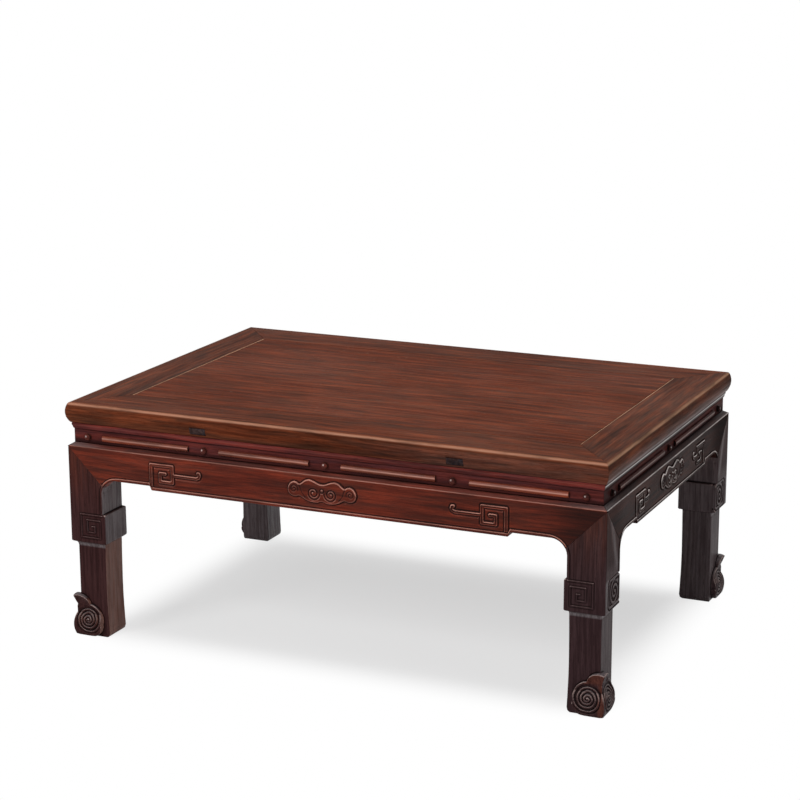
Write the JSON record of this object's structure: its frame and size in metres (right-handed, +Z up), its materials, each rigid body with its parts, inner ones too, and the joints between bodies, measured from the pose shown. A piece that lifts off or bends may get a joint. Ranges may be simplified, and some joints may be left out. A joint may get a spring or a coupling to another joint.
{
  "type": "kang table",
  "caption": "Low waisted rosewood kang table with a framed floating-panel top, bar-and-boss waist, key-fret aprons and block legs on scroll feet.",
  "frame": {"origin": "centre of the table on the floor, under the middle of the top", "axes": "+X along the table's length, +Y from the front to the back, +Z up"},
  "size_m": [0.86, 0.592, 0.368],
  "materials": {
    "panel_wood": "satin oiled rosewood, straight grain along the table",
    "frame_wood": "satin oiled rosewood, worn along the arris",
    "inner_wood": "planed, unpolished",
    "moulding_wood": "satin, dark red",
    "waist_wood": "satin, dark",
    "bead_wood": "polished by wear",
    "apron_wood": "satin oiled rosewood",
    "leg_wood": "satin oiled rosewood, dark"
  },
  "bodies": {
    "root": {"top_panel": "panel_wood", "frame_long_front": "frame_wood", "frame_long_back": "frame_wood", "frame_end_left": "frame_wood", "frame_end_right": "frame_wood", "batten_left": "inner_wood", "batten_right": "inner_wood", "moulding_front": "moulding_wood", "moulding_back": "moulding_wood", "moulding_right": "moulding_wood", "moulding_left": "moulding_wood", "waist_front": "waist_wood", "waist_back": "waist_wood", "waist_right": "waist_wood", "waist_left": "waist_wood", "bars_front": "bead_wood", "bars_back": "bead_wood", "bars_right": "bead_wood", "bars_left": "bead_wood", "bosses_front": "bead_wood", "bosses_back": "bead_wood", "bosses_right": "bead_wood", "bosses_left": "bead_wood", "apron_front": "apron_wood", "apron_back": "apron_wood", "apron_right": "apron_wood", "apron_left": "apron_wood", "leg_front_left": "leg_wood", "leg_front_right": "leg_wood", "leg_back_left": "leg_wood", "leg_back_right": "leg_wood"}
  },
  "joints": []
}
